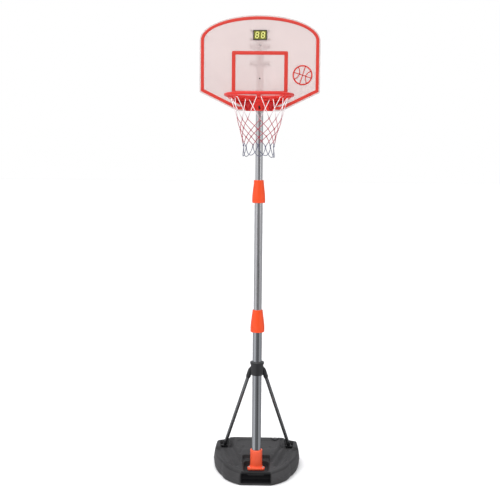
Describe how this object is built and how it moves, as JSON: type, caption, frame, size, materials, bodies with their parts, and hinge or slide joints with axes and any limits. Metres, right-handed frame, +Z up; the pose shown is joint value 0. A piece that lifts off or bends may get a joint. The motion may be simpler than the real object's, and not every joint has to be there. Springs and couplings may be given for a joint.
{
  "type": "portable basketball hoop",
  "caption": "Child's free-standing basketball hoop: ballast base, telescopic braced pole with twist locks, frosted backboard with score display, small rim and net.",
  "frame": {"origin": "on the floor, on the axis of the pole", "axes": "+Z up along the pole, -Y towards the player, +X to the player's right"},
  "size_m": [0.412, 0.5036, 1.64],
  "materials": {
    "tank_plastic": "satin moulded",
    "cap_plastic": "matte",
    "orange_plastic": "satin",
    "pole_steel": "drawn tube, satin grey",
    "black_plastic": "satin",
    "strut_paint": "powder coat",
    "zinc_screws": "zinc plated",
    "frosted_panel": "frosted clear plastic",
    "clamp_plastic": "translucent grey",
    "rim_plastic": "gloss",
    "trigger_plastic": "satin",
    "net_cord": "braided cord",
    "case_plastic": "fine texture",
    "display_plastic": "smoked window",
    "display_black": "satin",
    "board_green": "solder mask",
    "cell_jacket": "printed jacket, plain",
    "contact_metal": "nickel"
  },
  "bodies": {
    "base": {"base_tank": "tank_plastic", "pole_socket": "orange_plastic", "socket_screws": "zinc_screws", "lower_tube": "pole_steel", "strut_collar": "black_plastic", "collar_screw": "zinc_screws", "strut_left": "strut_paint", "strut_right": "strut_paint", "strut_foot_left": "black_plastic", "strut_foot_right": "black_plastic", "strut_pins": "zinc_screws", "lower_collet": "black_plastic"},
    "filler_plug": {"filler_cap": "cap_plastic"},
    "lower_lock": {"lower_sleeve": "orange_plastic"},
    "middle_pole": {"middle_tube": "pole_steel", "middle_plug": "black_plastic", "upper_collet": "black_plastic"},
    "upper_lock": {"upper_sleeve": "orange_plastic"},
    "board": {"upper_tube": "pole_steel", "upper_plug": "black_plastic", "top_cap": "black_plastic", "backboard": "frosted_panel", "pole_saddles": "clamp_plastic", "pole_straps": "clamp_plastic", "strap_screws": "zinc_screws", "plate_screws": "zinc_screws", "rim": "rim_plastic", "rim_bracket": "rim_plastic", "rim_screws": "zinc_screws", "sensor_housing": "rim_plastic", "net": "net_cord", "score_case": "case_plastic", "case_screws": "zinc_screws", "display_window": "display_plastic", "display_module": "display_black", "circuit_board": "board_green", "buzzer": "display_black", "batteries": "cell_jacket", "battery_contacts": "contact_metal"},
    "battery_cover": {"battery_door": "case_plastic"},
    "switch": {"power_switch": "trigger_plastic"},
    "button": {"reset_button": "trigger_plastic"},
    "trigger": {"sensor_lever": "trigger_plastic"}
  },
  "joints": [
    {"name": "filler_cap_lift", "type": "slide", "parent": "base", "child": "filler_plug", "axis": [0, 0, 1], "range_m": [0, 0.03]},
    {"name": "lower_lock_twist", "type": "hinge", "parent": "base", "child": "lower_lock", "pos_m": [0, 0, 0.578], "axis": [0, 0, 1], "range_deg": [0, 60]},
    {"name": "middle_slide", "type": "slide", "parent": "base", "child": "middle_pole", "axis": [0, 0, 1], "range_m": [-0.375, 0]},
    {"name": "upper_lock_twist", "type": "hinge", "parent": "middle_pole", "child": "upper_lock", "pos_m": [0, 0, 1.04], "axis": [0, 0, 1], "range_deg": [0, 60]},
    {"name": "upper_slide", "type": "slide", "parent": "middle_pole", "child": "board", "axis": [0, 0, 1], "range_m": [-0.378, 0]},
    {"name": "battery_door_lift", "type": "slide", "parent": "board", "child": "battery_cover", "axis": [0, 1, 0], "range_m": [0, 0.03]},
    {"name": "power_switch_slide", "type": "slide", "parent": "board", "child": "switch", "axis": [1, 0, 0], "range_m": [0, 0.004]},
    {"name": "reset_button_press", "type": "slide", "parent": "board", "child": "button", "axis": [0, 0, -1], "range_m": [0, 0.0015], "stiffness_N_per_m": 400},
    {"name": "trigger_swing", "type": "hinge", "parent": "board", "child": "trigger", "pos_m": [0, -0.054, 1.331], "axis": [1, 0, 0], "range_deg": [0, 18], "stiffness_Nm_per_rad": 0.05, "springref_deg": -5.73}
  ]
}
